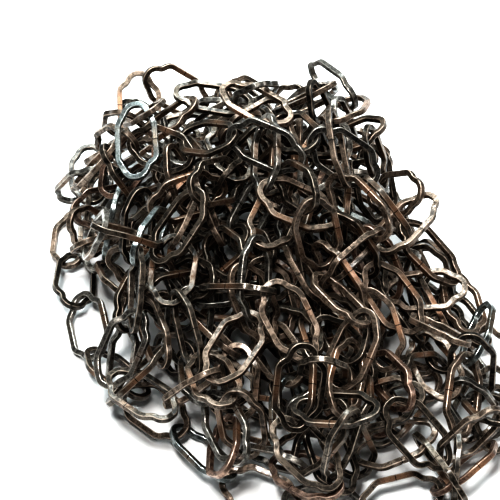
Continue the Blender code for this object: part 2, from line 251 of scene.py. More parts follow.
# Where each noise or mark begins to count and where it counts in full, and how much of the broad
# noise goes into the patches.
SCUFFS_FROM = (0.56, 0.72)
BROAD_PATCHES = 0.55
PATCHES_FROM = (0.66, 0.90)
PITS_FROM = (0.30, 0.48)
BREAKS_FROM = (0.30, 0.54)
HEAT_FROM = (0.25, 0.80)
LINES_FROM = (0.3, 0.7)

# What the effects do to the colour's brightness, the roughness, the lacquer and the height.
TONE_SHADES = (0.62, 1.38)
LINE_SHADES = (0.75, 1.2)
SCUFF_SHADES = (1.0, 1.7)
PIT_SHADES = (0.55, 1.0)
SEAM_DARK = (0.001, 0.001, 0.001, 1.0)
LINES_ROUGHEN = 0.18
RUBBED_ROUGHEN = -0.12
SCUFFED_LACQUER = 0.2
THICK_SKIN_LACQUER = 0.35
PIT_HEIGHT = 0.6
RELIEF = {"Strength": 0.25, "Distance": 0.0002}

# A group's kinds of sockets, by how many numbers a value has.
SOCKET_KINDS = {1: "NodeSocketFloat", 3: "NodeSocketVector", 4: "NodeSocketColor"}

# The room: a pale floor, a faint even light and three soft lamps, each with its place, its size, its
# power and its colour.
FLOOR_SIZE = 6
FLOOR_PAINT = (0.86, 0.86, 0.86, 1.0), (0.90, 0.90, 0.90, 1.0)
FLOOR_ROUGHNESS = 0.9
CLOUDS_SCALE = 3.0
ROOM_COLOUR = (0.95, 0.97, 1.0, 1)
ROOM_STRENGTH = 0.03
LIGHTS_AIM = Vector((0.0, -0.02, 0.04))
LIGHTS = {
    "window": ((-0.15, 0.75, 1.15), (1.0, 0.6), 17, (0.89, 0.98, 1.0)),
    "side": ((1.5, 0.1, 1.3), (0.6, 0.8), 5, (1.0, 0.97, 0.94)),
    "front": ((-0.20, -0.40, 1.4), (0.25, 0.25), 10, (1.0, 0.99, 0.97)),
}

# The camera, looking along +Y and down, as the photograph does.
VIEW_DOWN = math.radians(50)
VIEW_WIDTH = 0.357
VIEW_LOWER = 0.0075
VIEW_FARTHER = 0.05
LENS = 110
SENSOR = 36
EXPOSURE = 0.43


def link_outline():
    """The corners of one link's middle line, in its own plane, going round."""
    quarter = [SHOULDER, EYE_CORNER]
    half = quarter + [(x, -y) for x, y in reversed(quarter)]
    return half + [(-x, -y) for x, y in half]


def samples_along(outline, step):
    """Points along a closed outline, at most step apart, as rows of x, y, z."""
    points = []
    for (ax, ay), (bx, by) in zip(outline, outline[1:] + outline[:1]):
        count = math.ceil(math.hypot(bx - ax, by - ay) / step)
        for k in range(count):
            share = k / count
            points.append((ax + share * (bx - ax), ay + share * (by - ay), 0.0))
    return np.array(points)


def smooth(points, rounds=3):
    """The line through the points with its corners cut at a quarter, a few times over."""
    line = np.array(points)
    for _ in range(rounds):
        first = line[:-1] * 0.75 + line[1:] * 0.25
        second = line[:-1] * 0.25 + line[1:] * 0.75
        line = np.stack([first, second], axis=1).reshape(-1, 2)
    return line


def evenly(line, step):
    """The same line with a point every step."""
    lengths = np.linalg.norm(np.diff(line, axis=0), axis=1)
    along = np.concatenate([[0], np.cumsum(lengths)])
    at = np.arange(0, along[-1], step)
    return np.stack([np.interp(at, along, line[:, i]) for i in (0, 1)], axis=1)


def heap_outline():
    """The heap's outline on the floor with a point every step. Its first corners close it."""
    return evenly(smooth(HEAP_OUTLINE + HEAP_OUTLINE[:3], rounds=4), WAY_STEP)


def outline_reach(angles):
    """How far the heap's outline lies from the top, in plan, in each direction."""
    arms = heap_outline() - HEAP_TOP
    at = np.arctan2(arms[:, 1], arms[:, 0])
    order = np.argsort(at)
    return np.interp(angles, at[order], np.linalg.norm(arms, axis=1)[order], period=2 * math.pi)


def chain_way(rng):
    """The chain's way in plan: twice round the foot, then back and forth over the top."""
    arms = heap_outline() - HEAP_TOP
    once = len(arms) * len(HEAP_OUTLINE) / (len(HEAP_OUTLINE) + 1)

    def out(share, reach):
        return HEAP_TOP + arms[int(share % 1 * once)] * reach

    def more_in_front(share):
        return share - FRONT_PULL * math.sin(2 * math.pi * (share - FRONT_SHARE))

    points = []
    for reach, start, end, step in FOOT_ROUNDS:
        points += [out(share, reach) for share in np.arange(start, end, step)]
    share = PASSES_FROM
    for k in range(PASSES):
        reach = rng.uniform(*PASS_REACH)
        end = more_in_front(share)
        points.append(out(end - HAIRPIN, reach))
        points.append(out(end + HAIRPIN, reach))
        wander = rng.uniform(-SUMMIT_WANDER, SUMMIT_WANDER)
        summit = SUMMITS[k % 2] + wander * (SUMMITS[1] - SUMMITS[0])
        points.append(summit + rng.uniform(-SUMMIT_SPREAD, SUMMIT_SPREAD, 2))
        share += PASS_TURN + rng.uniform(-TURN_WANDER, TURN_WANDER)
    points.append(out(more_in_front(share), LAST_REACH))
    return evenly(smooth(points), WAY_STEP)


def inside_share(height):
    """How wide the heap's inside is at a height, against its foot."""
    return math.sqrt(max(1 - min(height / INSIDE_HEIGHT, 1) ** HILL_POWER, 0))


def in_core(points, margin):
    """Whether points lie in the core made larger by a margin."""
    flat = (points[..., :2] - CORE_MIDDLE) / (CORE_HALF + margin)
    height = np.maximum(points[..., 2], 0) / (CORE_HEIGHT + margin)
    return (flat**2).sum(axis=-1) + height**HILL_POWER < 1


class Field:
    """A grid that counts, for each place, the links too near to it for another bar's middle."""

    def __init__(self):
        shape = np.ceil((FIELD_HIGH - FIELD_LOW) / CELL).astype(int)
        self.last_cell = shape - 1
        self.taken = np.zeros(shape, np.uint8)
        self.flat = self.taken.reshape(-1)
        reach = int(CLEARANCE / CELL)
        span = np.arange(-reach, reach + 1)
        ball = np.stack(np.meshgrid(span, span, span, indexing="ij"), -1).reshape(-1, 3)
        self.ball = ball[np.linalg.norm(ball, axis=1) * CELL <= CLEARANCE]

    def cells(self, points):
        """The cell of each point, or the nearest one of the grid."""
        index = np.floor((points - FIELD_LOW) / CELL).astype(int)
        return np.clip(index, 0, self.last_cell)

    def around(self, points):
        """The numbers of all the cells that are too near to points."""
        index = self.cells(points)[:, None, :] + self.ball[None]
        index = np.clip(index, 0, self.last_cell).reshape(-1, 3)
        return np.unique(np.ravel_multi_index(tuple(index.T), self.taken.shape))

    def add(self, points):
        self.flat[self.around(points)] += 1

    def take_out(self, points):
        self.flat[self.around(points)] -= 1

    def inside_layers(self, margin):
        """For each layer of cells, which of them lie in the heap's inside with a margin."""
        x, y, z = self.places()
        dx, dy = x[:, None] - HEAP_TOP[0], y[None, :] - HEAP_TOP[1]
        away = np.hypot(dx, dy)
        foot = outline_reach(np.arctan2(dy, dx)) - INSIDE_INSET
        for k in np.flatnonzero(z < INSIDE_HEIGHT + margin):
            yield k, away < foot * inside_share(max(z[k] - margin, 0.0)) + margin

    def places(self):
        """The middles of the cells along each axis."""
        return (
            low + CELL * (np.arange(count) + 0.5)
            for low, count in zip(FIELD_LOW, self.taken.shape)
        )

    def close_inside(self):
        """Keeps the outer strands out of the heap's inside."""
        for k, inside in self.inside_layers(BAR_DIAGONAL / 2 + RUN_GAP):
            self.taken[:, :, k] += inside

    def open_inside(self):
        """Frees the heap's inside but for the core, and takes all that lies outside it."""
        for k, inside in self.inside_layers(BAR_DIAGONAL / 2 + RUN_GAP):
            self.taken[:, :, k] -= inside
        outside = np.ones(self.taken.shape, bool)
        for k, inside in self.inside_layers(INSIDE_LIMIT):
            outside[:, :, k] = ~inside
        self.outside = outside
        closed = outside.copy()
        x, y, z = self.places()
        for k in np.flatnonzero(z < CORE_HEIGHT + CORE_MARGIN):
            layer = np.stack(np.meshgrid(x, y, z[k], indexing="ij"), axis=-1, dtype=np.float32)
            closed[:, :, k] |= in_core(layer, CORE_MARGIN)[:, :, 0]
        self.taken += closed

    def count_closer(self, laid):
        """Counts all the laid links anew, now only where another bar's middle would cut them."""
        self.ball = self.ball[np.linalg.norm(self.ball, axis=1) * CELL <= CLOSE]
        self.taken[:] = self.outside
        for points in laid:
            self.add(points)

    def free(self, points):
        """For each set of points, whether all of it is free."""
        index = self.cells(points)
        hit = self.taken[index[..., 0], index[..., 1], index[..., 2]] > 0
        low = points[..., 2] < FLOOR_CLEARANCE
        return ~(hit | low).any(axis=-1)


def turned_to(directions, rolls):
    """Rotation matrices whose first axis is each direction, turned about it by each roll."""
    flat = np.cross([0.0, 0.0, 1.0], directions)
    flat /= np.linalg.norm(flat, axis=1, keepdims=True)
    up = np.cross(directions, flat)
    side = np.cos(rolls)[:, None] * flat + np.sin(rolls)[:, None] * up
    return np.stack([directions, side, np.cross(directions, side)], axis=-1)


def pointing(azimuths, pitches):
    """Unit vectors at azimuths and pitches."""
    flat = np.cos(pitches)
    return np.stack([np.cos(azimuths) * flat, np.sin(azimuths) * flat, np.sin(pitches)], axis=1)


def reach_across(direction, inward, normal):
    """How far a square bar reaches from its middle line in a direction across it."""
    return (np.abs((direction * inward).sum(-1)) + np.abs((direction * normal).sum(-1))) * BAR / 2


class Layer:
    """Lays links one after another, each hooked into the one before."""

    def __init__(self, rng):
        self.rng = rng
        outline = link_outline()
        self.shape = samples_along(outline, SAMPLE_STEP)
        ahead = np.roll(self.shape, -1, axis=0) - np.roll(self.shape, 1, axis=0)
        self.tangents = ahead / np.linalg.norm(ahead, axis=1, keepdims=True)
        inward = np.cross([0.0, 0.0, 1.0], self.tangents)
        self.inward = -inward * np.sign((inward * self.shape).sum(axis=1, keepdims=True))
        self.far_eye = np.flatnonzero(self.shape[:, 0] > HOOK_REACH)
        self.near_eye = np.flatnonzero(self.shape[:, 0] < -HOOK_REACH)
        self.field = Field()
        self.reach = outline_reach(np.radians(np.arange(-180, 181)))
        # The bar as it is, with the gap all round, and with twice the gap.
        self.solid = bar_loop(outline, BAR)
        self.clear = bar_loop(outline, BAR + 2 * RUN_GAP)
        self.close = bar_loop(outline, BAR + 4 * RUN_GAP)
        self.links = []
        self.trees = []
        self.core_open = False

    def points(self, link):
        """The middle line of a link's bar in points."""
        turn, middle = link
        return middle + self.shape @ turn.T

    def tree(self, loop, link):
        """A link's bar, as thick as the loop has it, for finding overlaps."""
        corners, faces = loop
        turn, middle = link
        return BVHTree.FromPolygons([Vector(p) for p in middle + corners @ turn.T], faces)

    def put(self, link):
        """Lays a link. The one before it now counts as taken, since nothing else hooks into it."""
        if self.links:
            self.field.add(self.points(self.links[-1]))
        self.links.append(link)
        self.trees.append(self.tree(self.solid, link))

    def take_back(self, count):
        """Takes back the last links, but never the first one."""
        for _ in range(min(count, len(self.links) - 1)):
            self.links.pop()
            self.trees.pop()
            self.field.take_out(self.points(self.links[-1]))

    def hooks_in(self, link, new_run):
        """Whether a link meets the last one in the way its place in the run asks for."""
        loop = self.close if new_run else self.solid
        return bool(self.tree(loop, link).overlap(self.trees[-1]))

    def clashes(self, link, new_run):
        """Whether a link comes too near to any laid link it isn't joined to."""
        tree = self.tree(self.clear, link)
        apart = len(self.links) - (0 if new_run else 1)
        return any(
            np.linalg.norm(self.links[i][1] - link[1]) < LINK_LENGTH + BAR
            and tree.overlap(self.trees[i])
            for i in range(apart)
        )

    def costs(self, centres, ends, target):
        """How high tries lie, how far from the target they end, and how far outside the heap."""
        cost = centres[:, 2] + END_HEIGHT_COST * ends[:, 2]
        cost += MISSED_TARGET_COST * np.linalg.norm(ends[:, :2] - target, axis=1)
        arms = ends[:, :2] - HEAP_TOP
        reach = self.reach[np.degrees(np.arctan2(arms[:, 1], arms[:, 0])).astype(int) + 180]
        cost += OUTSIDE_COST * np.maximum(np.linalg.norm(arms, axis=1) - reach, 0)
        return cost

    def hooked_on(self, turned, on_last, on_next, new_run):
        """Middles and contacts of turned links hooked into the last one, and whether they hold."""
        before, centre = self.links[-1]
        last_inward = self.inward[on_last] @ before.T
        next_tangent = np.einsum("nij,nj->ni", turned, self.tangents[on_next])
        next_inward = np.einsum("nij,nj->ni", turned, self.inward[on_next])
        push = np.cross(self.tangents[on_last] @ before.T, next_tangent)
        crossing = np.linalg.norm(push, axis=1)
        push /= np.maximum(crossing, 1e-6)[:, None]
        push *= np.sign((push * last_inward).sum(axis=1))[:, None]
        apart = reach_across(push, last_inward, before[:, 2])
        apart += reach_across(push, next_inward, turned[:, :, 2])
        apart += HOOK_GAP if new_run else -HOOK_BITE
        contact = centre + self.shape[on_last] @ before.T
        arm = np.einsum("nij,nj->ni", turned, self.shape[on_next])
        hooked = (
            (crossing > LEAST_CROSSING)
            & ((push * last_inward).sum(axis=1) > LEAST_PUSH)
            & ((push * next_inward).sum(axis=1) < -LEAST_PUSH)
        )
        return contact + push * apart[:, None] - arm, contact, hooked

    def free_tries(self, turned, centres, order):
        """For each try that lies in free cells, in order: its number and its points."""
        for start in range(0, len(order), BATCH):
            few = order[start : start + BATCH]
            points = np.einsum("nij,kj->nki", turned[few], self.shape) + centres[few][:, None]
            for i in np.flatnonzero(self.field.free(points)):
                yield few[i], points[i]

    def near_beside_hook(self, points, touch):
        """Whether a next link's points come too near to the last link away from their hook."""
        last = self.points(self.links[-1])
        far_last = np.linalg.norm(last - touch, axis=1) > HOOK_ZONE
        far_next = np.linalg.norm(points - touch, axis=1) > HOOK_ZONE
        gaps = np.linalg.norm(points[:, None] - last[None], axis=-1)
        return gaps[far_next[:, None] | far_last[None]].min() < HOOK_CLEARANCE

    def next_link(self, target, width, tries, new_run=False):
        """The lowest free place near the target for a link hooked into the last one, or None."""
        rng = self.rng
        before, centre = self.links[-1]
        eye = centre + before[:, 0] * HALF_LENGTH
        aim = target - eye[:2]
        azimuths = math.atan2(aim[1], aim[0]) + rng.normal(0, 1, tries) * width
        directions = pointing(azimuths, rng.uniform(*LINK_PITCHES, tries))
        turned = turned_to(directions, rng.uniform(0, math.pi, tries))
        on_last = rng.choice(self.far_eye, tries)
        on_next = rng.choice(self.near_eye, tries)
        centres, contact, hooked = self.hooked_on(turned, on_last, on_next, new_run)
        cost = self.costs(centres, centres + directions * HALF_LENGTH, target)
        order = np.argsort(np.where(hooked, cost, np.inf))[: hooked.sum()]
        for i, points in self.free_tries(turned, centres, order):
            link = (turned[i], centres[i])
            near = self.near_beside_hook(points, contact[i])
            if not near and self.hooks_in(link, new_run) and not self.clashes(link, new_run):
                return link
        return None

    def lay(self, way):
        """One chain along the way. Where it can't go on, a few links are laid again."""
        heading = np.append(way[WAY_HEADING] - way[0], 0.0)
        first = turned_to(heading[None] / np.linalg.norm(heading), np.array([FIRST_ROLL]))[0]
        self.put((first, np.append(way[0], FIRST_HEIGHT)))
        stride = int(2 * HALF_LENGTH / WAY_STEP)
        marks = [0]
        misses = 0
        while marks[-1] + stride + WAY_SPARE < len(way):
            before, centre = self.links[-1]
            eye = centre + before[:, 0] * HALF_LENGTH
            near = way[marks[-1] : marks[-1] + stride + LOOK_AHEAD]
            nearest = int(np.argmin(np.linalg.norm(near - eye[:2], axis=1)))
            at = marks[-1] + LEAST_ADVANCE + nearest
            spread = SEARCH_SPREAD + MISS_SPREAD * misses
            tries = TRIES * (1 + int(misses))
            new_run = len(self.links) % LINKS_IN_RUN == 0
            link = self.next_link(way[at + stride], spread, tries, new_run)
            if link is None:
                misses += 1
                drop = min(1 + int(misses), len(self.links) - 1)
                self.take_back(drop)
                del marks[len(marks) - drop :]
                if misses > MOST_MISSES:
                    return
                continue
            misses = max(misses - MISS_FADE, 0)
            self.put(link)
            marks.append(at)

    def free_place(self):
        """The lowest of some free places inside the heap for a link hooked into none, or None."""
        rng = self.rng
        angles = rng.uniform(0, 2 * math.pi, TRIES)
        away = (outline_reach(angles) - INSIDE_INSET) * np.sqrt(rng.uniform(0, 1, TRIES))
        spots = HEAP_TOP + np.stack([np.cos(angles), np.sin(angles)], axis=1) * away[:, None]
        centres = np.column_stack([spots, rng.uniform(STRETCH_LOWEST, INSIDE_HEIGHT, TRIES)])
        azimuths = rng.uniform(0, 2 * math.pi, TRIES)
        directions = pointing(azimuths, rng.uniform(-STRETCH_PITCH, STRETCH_PITCH, TRIES))
        turned = turned_to(directions, rng.uniform(0, math.pi, TRIES))
        for i, _ in self.free_tries(turned, centres, np.argsort(centres[:, 2])):
            if not self.clashes((turned[i], centres[i]), True):
                return self.let_down((turned[i], centres[i]))
        return None

    def let_down(self, link):
        """A link lowered until it all but touches the floor, the core or another link."""
        turn, middle = link
        step = np.array([0.0, 0.0, SETTLE_STEP])
        while True:
            lower = turn, middle - step
            low = (lower[1] + self.solid[0] @ turn.T)[:, 2].min() < RUN_GAP
            low |= not self.core_open and in_core(self.points(lower), CORE_MARGIN).any()
            if low or self.clashes(lower, True):
                return turn, middle
            middle = lower[1]

    def lay_inside(self):
        """Fills the heap's inside, each time with the longest of a few stretches of chain."""
        self.field.open_inside()
        stretches = []
        for _ in range(STRETCHES):
            longest = []
            laid = len(self.links)
            for _ in range(STRETCH_STARTS):
                link = self.free_place()
                while link is not None and len(self.links) < laid + STRETCH_LINKS:
                    self.put(link)
                    target = link[1][:2] + self.rng.normal(0, STRETCH_WANDER, 2)
                    link = self.next_link(target, STRETCH_SPREAD, TRIES)
                if len(self.links) - laid > len(longest):
                    longest = self.links[laid:]
                self.take_back(len(self.links) - laid)
            for link in longest:
                self.put(link)
            if longest:
                stretches.append(longest)
        return stretches

    def lay_in_core(self):
        """The links that the core stands for. They lie closer than the field at first allows."""
        self.core_open = True
        self.field.count_closer(self.points(link) for link in self.links)
        laid = len(self.links)
        for _ in range(CORE_LINKS):
            link = self.free_place()
            if link is not None:
                self.put(link)
        return self.links[laid:]


def bar_loop(outline, bar):
    """The corners and faces of a square bar bent round an outline."""
    curve = bpy.data.curves.new("link", "CURVE")
    curve.dimensions = "3D"
    curve.fill_mode = "FULL"
    curve.bevel_depth = bar / math.sqrt(2)
    curve.bevel_resolution = 0
    curve.twist_mode = "Z_UP"
    spline = curve.splines.new("POLY")
    spline.points.add(len(outline) - 1)
    for point, (x, y) in zip(spline.points, outline):
        point.co = (x, y, 0, 1)
        point.tilt = math.radians(45)
    spline.use_cyclic_u = True
    guide = bpy.data.objects.new("link", curve)
    bpy.context.scene.collection.objects.link(guide)
    evaluated = guide.evaluated_get(bpy.context.evaluated_depsgraph_get())
    mesh = bpy.data.meshes.new_from_object(evaluated)
    bpy.data.objects.remove(guide)
    shape = bmesh.new()
    shape.from_mesh(mesh)
    bmesh.ops.remove_doubles(shape, verts=shape.verts, dist=1e-6)
    bmesh.ops.recalc_face_normals(shape, faces=shape.faces)
    shape.verts.index_update()
    corners = np.array([v.co[:] for v in shape.verts])
    faces = [tuple(v.index for v in face.verts) for face in shape.faces]
    shape.free()
    return corners, faces


def rounded(corners):
    """A closed line through corners with radii, each corner turned into a bend."""
    points = []
    places = [np.array(place) for place, _ in corners]
    count = len(corners)
    for k in range(count):
        place, radius = places[k], corners[k][1]
        back = places[k - 1] - place
        ahead = places[(k + 1) % count] - place
        long_back, long_ahead = np.linalg.norm(back), np.linalg.norm(ahead)
        back, ahead = back / long_back, ahead / long_ahead
        half = math.acos(max(-1.0, min(1.0, float(back @ ahead)))) / 2
        cut = min(radius / math.tan(half), BEND_CUT * long_back, BEND_CUT * long_ahead)
        start, end = place + back * cut, place + ahead * cut
        for share in np.linspace(0, 1, BEND_STEPS):
            points.append(
                (1 - share) ** 2 * start + 2 * share * (1 - share) * place + share**2 * end
            )
    return points


def made_line(rng):
    """One link's middle line, from one side of its butt seam to the other, a little uneven."""
    far = MADE_BENDS + [((x, -y), radius) for (x, y), radius in reversed(MADE_BENDS)]
    near = [((-x, -y), radius) for (x, y), radius in far]
    corners = []
    for (x, y), radius in far + near:
        off = rng.normal(0, UNEVEN, 3) * (abs(x) < EVEN_EYE)
        place = (x + off[0], y + off[1], UNEVEN_LIFT * off[2])
        corners.append((place, radius * rng.uniform(*BEND_CHANGE)))
    points = rounded(corners)
    side = (points[0] + points[-1]) / 2
    direction = points[0] - points[-1]
    direction /= np.linalg.norm(direction)
    ends = [side + direction * SEAM_HALF * k for k in SEAM_RINGS]
    other_ends = [side - direction * SEAM_HALF * k for k in reversed(SEAM_RINGS)]
    return np.array(ends + points + other_ends)


def bar_section():
    """The rounded square section's corners, their normals, and how near each is to an edge."""
    places, normals, edges = [], [], []
    inner = BAR / 2 - EDGE_RADIUS
    for quarter in range(4):
        middle = np.array([[1, 1], [-1, 1], [-1, -1], [1, -1]][quarter]) * inner
        for step in range(EDGE_STEPS):
            angle = math.pi / 2 * (quarter + step / (EDGE_STEPS - 1))
            normal = np.array([math.cos(angle), math.sin(angle)])
            places.append(middle + normal * EDGE_RADIUS)
            normals.append(normal)
            edges.append(math.sin(math.pi * step / (EDGE_STEPS - 1)))
    return np.array(places), np.array(normals), np.array(edges)


def made_bar(line, along, rng, section):
    """A bar's vertices and normals, ring by ring along its middle line, twisted and uneven."""
    places, normals, _ = section
    ahead = np.roll(line, -1, axis=0) - np.roll(line, 1, axis=0)
    ahead /= np.linalg.norm(ahead, axis=1, keepdims=True)
    out = np.cross(ahead, [0.0, 0.0, 1.0])
    out /= np.linalg.norm(out, axis=1, keepdims=True)
    up = np.cross(out, ahead)
    turns = 2 * math.pi * along[:-1] / along[-1]
    phases = rng.uniform(0, 2 * math.pi, 4)
    twist = TWISTS[0] * np.sin(turns + phases[0]) + TWISTS[1] * np.sin(2 * turns + phases[1])
    waves = np.sin(BAR_WAVES[0] * turns + phases[2]) + np.sin(BAR_WAVES[1] * turns + phases[3])
    size = 1 + UNEVEN_BAR * waves / 2
    size[[0, -1]] *= 1 - SEAM_DEPTH
    cosine, sine = np.cos(twist)[:, None, None], np.sin(twist)[:, None, None]
    across = cosine * out[:, None] + sine * up[:, None]
    lift = cosine * up[:, None] - sine * out[:, None]
    corners = across * places[:, :1] + lift * places[:, 1:]
    corners = line[:, None] + corners * size[:, None, None]
    return corners, across * normals[:, :1] + lift * normals[:, 1:]


def bar_marks(along, rng, edges):
    """How near to an edge each vertex is, whether it is at the seam, its link's tone, its heat."""
    marks = np.zeros((len(along) - 1, len(edges), 4))
    marks[..., 0] = edges
    marks[[0, -1], :, 1] = 1
    marks[..., 2] = rng.random()
    from_seam = np.minimum(along[:-1], along[-1] - along[:-1])
    from_far_side = np.abs(along[:-1] - along[-1] / 2)
    away = np.stack([from_seam, from_far_side], axis=1)
    tint = rng.uniform(0, 1, 2) * np.exp(-((away / HEAT_REACH) ** 2))
    marks[..., 3] = tint.max(axis=1)[:, None]
    return marks


def bar_map(along, rng, places):
    """How far along and how far round the bar each corner of each face lies."""
    reach = np.linalg.norm(np.roll(places, -1, axis=0) - places, axis=1)
    round_bar = np.concatenate([[0], np.cumsum(reach)])
    start = rng.uniform(0, MAP_START)
    u = start + np.stack([along[:-1], along[1:]], axis=1)
    v = np.stack([round_bar[:-1], round_bar[1:]], axis=1)
    corners = np.empty((len(u), len(v), len(FACE_CORNERS), 2))
    for k, (i, j) in enumerate(FACE_CORNERS):
        corners[:, :, k, 0] = u[:, i][:, None]
        corners[:, :, k, 1] = v[:, j][None]
    return corners


def baking_map(corners, number, count):
    """A link's bar map as two strips among those of all its piece's links, in one unit square."""
    along, round_bar = corners[..., 0], corners[..., 1]
    half = len(along) // 2
    along = along - along.min()
    middle = along[half].min()
    second = np.arange(len(along))[:, None, None] >= half
    along = np.where(second, (along - middle) / (along.max() - middle), along / middle)
    columns = 2 if count > MOST_IN_ONE_COLUMN else 1
    strip = 2 * number + second
    u = (strip % columns + MAP_INSET[0] + (1 - 2 * MAP_INSET[0]) * along) / columns
    v = strip // columns + MAP_INSET[1]
    v = (v + (1 - 2 * MAP_INSET[1]) * round_bar / round_bar.max()) * columns / (2 * count)
    return np.stack([u, v], axis=-1)


def made_link(link, rng, section):
    """One link's vertices, normals, marks and bar map, in place."""
    turn, middle = link
    places, _, edges = section
    line = made_line(rng)
    steps = np.linalg.norm(np.roll(line, -1, axis=0) - line, axis=1)
    along = np.concatenate([[0], np.cumsum(steps)])
    corners, facing = made_bar(line, along, rng, section)
    corners = middle + corners.reshape(-1, 3) @ turn.T
    corners[:, 2] = corners[:, 2].clip(min=0)
    marks = bar_marks(along, rng, edges)
    return corners, facing.reshape(-1, 3) @ turn.T, marks, bar_map(along, rng, places)


def bar_faces(rings, around):
    """The four-cornered faces of a closed bar, ring by ring."""
    ring, corner = np.meshgrid(np.arange(rings), np.arange(around), indexing="ij")
    faces = [(ring + i) % rings * around + (corner + j) % around for i, j in FACE_CORNERS]
    return np.stack(faces, axis=-1).reshape(-1, 4)


def flat_floats(arrays):
    """All the numbers of some arrays in one row, as Blender takes them."""
    return np.concatenate([array.ravel() for array in arrays]).astype(np.float32)


def chain_mesh(name, links, rng, irons):
    """The made links of one piece, as one mesh. Each link is of one iron."""
    section = bar_section()
    shares = [values["share"] for values in IRONS.values()]
    vertices, normals, marks, maps, bakings, faces, metals = ([] for _ in range(7))
    laid = 0
    for number, link in enumerate(links):
        corners, facing, link_marks, link_map = made_link(link, rng, section)
        link_faces = bar_faces(*link_map.shape[:2]) + laid
        laid += len(corners)
        vertices.append(corners)
        normals.append(facing)
        marks.append(link_marks)
        maps.append(link_map)
        bakings.append(baking_map(link_map, number, len(links)))
        faces.append(link_faces)
        metals.append(np.full(len(link_faces), rng.choice(len(IRONS), p=shares)))
    mesh = bpy.data.meshes.new(name)
    mesh.from_pydata(np.concatenate(vertices), [], np.concatenate(faces))
    for material in irons:
        mesh.materials.append(material)
    mesh.polygons.foreach_set("material_index", np.concatenate(metals).astype(np.int32))
    mesh.polygons.foreach_set("use_smooth", np.ones(len(mesh.polygons), bool))
    for title, places in (("bar", maps), ("OFBake", bakings)):
        mesh.uv_layers.new(name=title).uv.foreach_set("vector", flat_floats(places))
    colours = mesh.color_attributes.new("marks", "FLOAT_COLOR", "POINT")
    colours.data.foreach_set("color", flat_floats(marks))
    mesh.update()
    mesh.normals_split_custom_set_from_vertices(np.concatenate(normals))
    return mesh


def chain_piece(name, links, rng, irons, node):
    """The made links of one run or stretch, in place of its node."""
    piece = bpy.data.objects.new(name, chain_mesh(name, links, rng, irons))
    bpy.context.scene.collection.objects.link(piece)
    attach(piece, "root")
    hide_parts(node)


class Wiring:
    """Adds shader nodes to a tree and joins them. A value is a number, a colour or a socket."""

    def __init__(self, tree):
        self.tree = tree

    def feed(self, socket, value):
        """Joins a socket to the value, or sets it."""
        if isinstance(value, bpy.types.NodeSocket):
            self.tree.links.new(value, socket)
        else:
            socket.default_value = value

    def node(self, kind, inputs, **settings):
        """A new node with its inputs and settings."""
        node = self.tree.nodes.new(kind)
        for key, value in settings.items():
            setattr(node, key, value)
        for key, value in inputs.items():
            self.feed(node.inputs[key], value)
        return node

    def math(self, operation, *values, use_clamp=False):
        """What a sum of one or more values comes to."""
        settings = {"operation": operation, "use_clamp": use_clamp}
        return self.node("ShaderNodeMath", dict(enumerate(values)), **settings).outputs[0]

    def ranged(self, value, low, high, to_low=0.0, to_high=1.0, kind="SMOOTHSTEP"):
        """A value brought from one range into another, and kept there."""
        inputs = {"Value": value, "From Min": low, "From Max": high}
        inputs.update({"To Min": to_low, "To Max": to_high})
        return self.node("ShaderNodeMapRange", inputs, interpolation_type=kind).outputs["Result"]

    def mixed(self, share, first, second):
        """Two colours mixed."""
        inputs = {0: share, 6: first, 7: second}
        return self.node("ShaderNodeMix", inputs, data_type="RGBA").outputs[2]

    def shaded(self, colour, amount):
        """A colour made darker or brighter."""
        inputs = {"Vector": colour, "Scale": amount}
        return self.node("ShaderNodeVectorMath", inputs, operation="SCALE").outputs[0]

    def noise(self, place, scale, **inputs):
        """Noise between 0 and 1."""
        inputs.update({"Vector": place, "Scale": scale})
        return self.node("ShaderNodeTexNoise", inputs).outputs["Fac"]

    def group(self, tree, **inputs):
        """What one of the groups below puts out for its inputs."""
        inputs = {key.replace("_", " "): value for key, value in inputs.items()}
        return self.node("ShaderNodeGroup", inputs, node_tree=tree).outputs


def new_group(name, inputs, outputs):
    """A shader node group with named sockets, its wiring, and its input and output sockets."""
    tree = bpy.data.node_groups.new(name, "ShaderNodeTree")
    for title, value in inputs.items():
        kind = SOCKET_KINDS[np.size(value)]
        socket = tree.interface.new_socket(title, in_out="INPUT", socket_type=kind)
        socket.default_value = value
    for title, size in outputs.items():
        tree.interface.new_socket(title, in_out="OUTPUT", socket_type=SOCKET_KINDS[size])
    given = tree.nodes.new("NodeGroupInput").outputs
    made = tree.nodes.new("NodeGroupOutput").inputs
    return tree, Wiring(tree), given, made


def drawn_lines_group():
    """Fine lines and longer scuffs along the bar, left by drawing, bending and brushing it."""
    tree, wiring, given, made = new_group(
        "drawn_lines",
        {
            "Bar Map": (0.0, 0.0, 0.0),
            "Lines Across": 1800.0,
            "Lines Along": 45.0,
            "Scuffs Across": 700.0,
            "Scuffs Along": 110.0,
        },
        {"Height": 1, "Scuffs": 1},
    )
    split = wiring.node("ShaderNodeSeparateXYZ", {0: given["Bar Map"]}).outputs

    def stretched(across, along, **noise):
        place = {
            "X": wiring.math("MULTIPLY", split["X"], given[along]),
            "Y": wiring.math("MULTIPLY", split["Y"], given[across]),
        }
        return wiring.noise(wiring.node("ShaderNodeCombineXYZ", place).outputs[0], 1.0, **noise)

    lines = stretched("Lines Across", "Lines Along", Detail=3.0, Roughness=0.6)
    scuffs = stretched("Scuffs Across", "Scuffs Along", Detail=4.0, Roughness=0.7)
    wiring.feed(made["Height"], lines)
    wiring.feed(made["Scuffs"], wiring.ranged(scuffs, *SCUFFS_FROM))
    return tree


